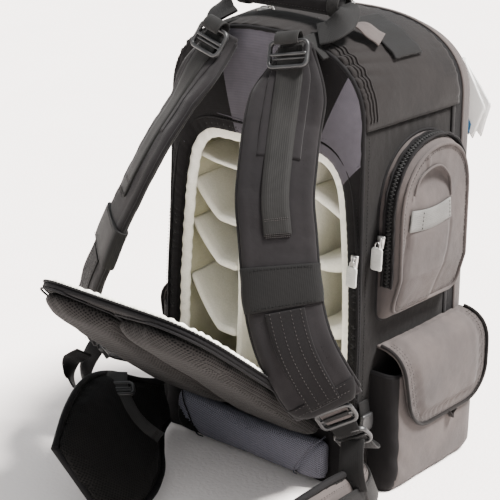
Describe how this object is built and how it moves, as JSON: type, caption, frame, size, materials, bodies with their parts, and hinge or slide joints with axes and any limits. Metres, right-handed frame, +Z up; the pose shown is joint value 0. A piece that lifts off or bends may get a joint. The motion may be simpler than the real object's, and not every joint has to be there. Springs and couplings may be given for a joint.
{
  "type": "camera backpack",
  "caption": "Rear-opening padded camera backpack standing upright, with its divided interior exposed, harness, hip belt wings, side pockets and front compartment.",
  "frame": {"origin": "on the floor under the middle of the base panel", "axes": "+Z up, -Y out of the harness side, +X to the right seen from the harness side"},
  "size_m": [0.3693, 0.4298, 0.486],
  "materials": {
    "nylon": "woven ballistic nylon, charcoal with a warm tint",
    "nylon_dark": "finer woven nylon, near black",
    "mesh_black": "spacer mesh over foam, black",
    "mesh_blue": "spacer mesh over foam, blue-grey",
    "lining": "brushed loop lining, cream",
    "divider": "brushed loop fabric over foam, khaki cream",
    "strap_nylon": "woven nylon over foam, charcoal",
    "webbing": "ribbed polyester webbing, black",
    "zip_tape": "coil zip on woven tape, black",
    "hardware": "moulded acetal, black, satin",
    "slider_metal": "die-cast zip slider, dark nickel",
    "pull_grey": "moulded pull tab, light grey",
    "card": "plain coated card, white"
  },
  "bodies": {
    "bag": {"back_frame": "nylon", "side_panel_left": "nylon", "side_panel_right": "nylon", "base_panel": "nylon_dark", "crown_panel": "nylon_dark", "bulkhead_panel": "nylon_dark", "front_pocket_base": "nylon_dark", "back_zip": "zip_tape", "liner_tray": "lining", "vertical_divider_left": "divider", "vertical_divider_right": "divider", "divider_left_1": "divider", "divider_left_2": "divider", "divider_left_3": "divider", "divider_left_4": "divider", "divider_right_1": "divider", "divider_right_2": "divider", "divider_right_3": "divider", "lumbar_pad": "mesh_blue", "upper_pocket_left": "nylon", "upper_pocket_right": "nylon", "lower_pocket_left": "nylon", "lower_pocket_right": "nylon", "crown_band": "webbing", "side_zip_slider": "slider_metal", "back_zip_slider": "slider_metal"},
    "back_flap": {"flap_panel": "mesh_black", "flap_lining": "lining", "flap_pad_left": "mesh_black", "flap_pad_right": "mesh_black"},
    "front_cover": {"front_cover": "nylon", "hang_tag": "card"},
    "handle": {"handle_grip": "nylon_dark", "handle_leg_left": "webbing", "handle_leg_right": "webbing"},
    "side_zip_tab": {"side_zip_tab": "pull_grey"},
    "back_zip_tab": {"back_zip_tab": "pull_grey"},
    "strap_left": {"shoulder_pad_left": "strap_nylon", "strap_webbing_left": "webbing", "strap_keeper_left": "webbing", "strap_lock_left": "hardware", "adjuster_upper_left": "hardware", "adjuster_lower_left": "hardware", "anchor_webbing_left": "webbing"},
    "wing_left": {"hip_wing_left": "mesh_black", "hip_webbing_left": "webbing"},
    "pocket_flap_left": {"pocket_flap_left": "nylon"},
    "strap_right": {"shoulder_pad_right": "strap_nylon", "strap_webbing_right": "webbing", "strap_keeper_right": "webbing", "strap_lock_right": "hardware", "adjuster_upper_right": "hardware", "adjuster_lower_right": "hardware", "anchor_webbing_right": "webbing"},
    "wing_right": {"hip_wing_right": "mesh_black", "hip_webbing_right": "webbing"},
    "pocket_flap_right": {"pocket_flap_right": "nylon"}
  },
  "joints": [
    {"name": "back_flap_hinge", "type": "hinge", "parent": "bag", "child": "back_flap", "pos_m": [0, -0.085, 0.065], "axis": [-1, 0, 0], "range_deg": [0, 51], "deforming": ["shoulder_pad_left", "shoulder_pad_right", "strap_webbing_left", "strap_webbing_right", "strap_keeper_left", "strap_keeper_right"]},
    {"name": "strap_left_swing", "type": "hinge", "parent": "bag", "child": "strap_left", "pos_m": [-0.042, -0.097, 0.444], "axis": [-0.2213, 0.0154, -0.9751], "range_deg": [-12, 12], "stiffness_Nm_per_rad": 0.3},
    {"name": "strap_right_swing", "type": "hinge", "parent": "bag", "child": "strap_right", "pos_m": [0.042, -0.097, 0.444], "axis": [-0.2213, -0.0154, 0.9751], "range_deg": [-12, 12], "stiffness_Nm_per_rad": 0.3},
    {"name": "wing_left_swing", "type": "hinge", "parent": "bag", "child": "wing_left", "pos_m": [-0.114, -0.097, 0.03], "axis": [0, 0, -1], "range_deg": [-12, 12], "stiffness_Nm_per_rad": 0.3},
    {"name": "wing_right_swing", "type": "hinge", "parent": "bag", "child": "wing_right", "pos_m": [0.122, -0.097, 0.03], "axis": [0, 0, 1], "range_deg": [-12, 12], "stiffness_Nm_per_rad": 0.3},
    {"name": "pocket_flap_left_hinge", "type": "hinge", "parent": "bag", "child": "pocket_flap_left", "pos_m": [-0.127, 0.023, 0.154], "axis": [-0.0549, 0.9985, 0], "range_deg": [0, 85]},
    {"name": "pocket_flap_right_hinge", "type": "hinge", "parent": "bag", "child": "pocket_flap_right", "pos_m": [0.127, 0.023, 0.154], "axis": [-0.0549, -0.9985, 0], "range_deg": [0, 85]},
    {"name": "front_cover_hinge", "type": "hinge", "parent": "bag", "child": "front_cover", "pos_m": [0, 0.116, 0.0623], "axis": [-1, 0, 0], "range_deg": [0, 70]},
    {"name": "handle_hinge", "type": "hinge", "parent": "bag", "child": "handle", "pos_m": [0, -0.082, 0.45], "axis": [1, 0, 0], "range_deg": [0, 50]},
    {"name": "side_zip_tab_hinge", "type": "hinge", "parent": "bag", "child": "side_zip_tab", "pos_m": [0.1271, -0.0722, 0.26], "axis": [-1, 0, 0], "range_deg": [0, 80]},
    {"name": "back_zip_tab_hinge", "type": "hinge", "parent": "bag", "child": "back_zip_tab", "pos_m": [0.1144, -0.0944, 0.244], "axis": [-1, 0, 0], "range_deg": [0, 80]}
  ]
}
